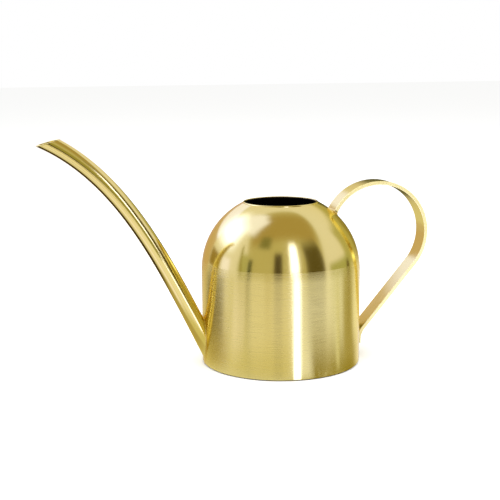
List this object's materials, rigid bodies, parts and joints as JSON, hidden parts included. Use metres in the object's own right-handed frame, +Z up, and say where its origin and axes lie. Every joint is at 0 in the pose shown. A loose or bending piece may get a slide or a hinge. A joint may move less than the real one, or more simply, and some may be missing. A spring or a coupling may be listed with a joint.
{
  "type": "watering can",
  "caption": "Small indoor watering can: straight round body, domed shoulder with a round mouth, long slender curved spout and a flat-strip loop handle.",
  "frame": {"origin": "middle of the base's underside, on the body's axis", "axes": "+Z up along the body's axis, -X towards the spout, +X towards the handle"},
  "size_m": [0.3199, 0.13, 0.1875],
  "materials": {
    "brushed_brass": "fine horizontal brushing, satin",
    "polished_brass": "smooth polish",
    "weld_brass": "smoothed weld, satin"
  },
  "bodies": {
    "root": {"base_pan": "brushed_brass", "body_wall": "brushed_brass", "dome": "polished_brass", "spout_tube": "polished_brass", "spout_weld": "weld_brass", "handle_strip": "polished_brass", "handle_upper_weld": "weld_brass", "handle_lower_weld": "weld_brass"}
  },
  "joints": []
}
